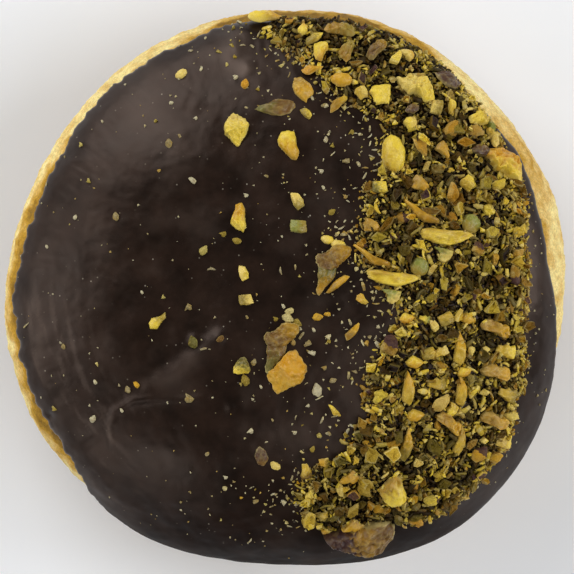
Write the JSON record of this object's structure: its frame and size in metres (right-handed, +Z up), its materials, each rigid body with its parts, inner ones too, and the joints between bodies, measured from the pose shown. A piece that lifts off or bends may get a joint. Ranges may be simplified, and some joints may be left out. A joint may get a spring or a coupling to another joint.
{
  "type": "pistachio chocolate doughnut",
  "caption": "A round filled-style doughnut without a hole, dipped in dark chocolate, with chopped pistachios strewn over one side. It lies on a flat foot.",
  "frame": {"origin": "middle of the flat foot that the doughnut rests on", "axes": "+Z up, through the middle of the chocolate top; +X to the side with the nuts; -Y to the front, where the chocolate reaches lowest"},
  "size_m": [0.0951, 0.0943, 0.0458],
  "materials": {
    "fried_dough": "matte fried yeast dough, golden brown with a pale belt",
    "dark_chocolate": "satin dark chocolate",
    "pistachio": "broken and toasted pistachio kernel"
  },
  "bodies": {
    "root": {"dough": "fried_dough", "chocolate_coat": "dark_chocolate", "kernel_half_front": "pistachio", "nib_toasted_middle": "pistachio", "flake_tan_middle": "pistachio", "flake_tan_upper": "pistachio", "oval_yellow": "pistachio", "nib_yellow_upper_left": "pistachio", "nib_pale_upper_right": "pistachio", "nib_toasted_right": "pistachio"}
  },
  "joints": []
}
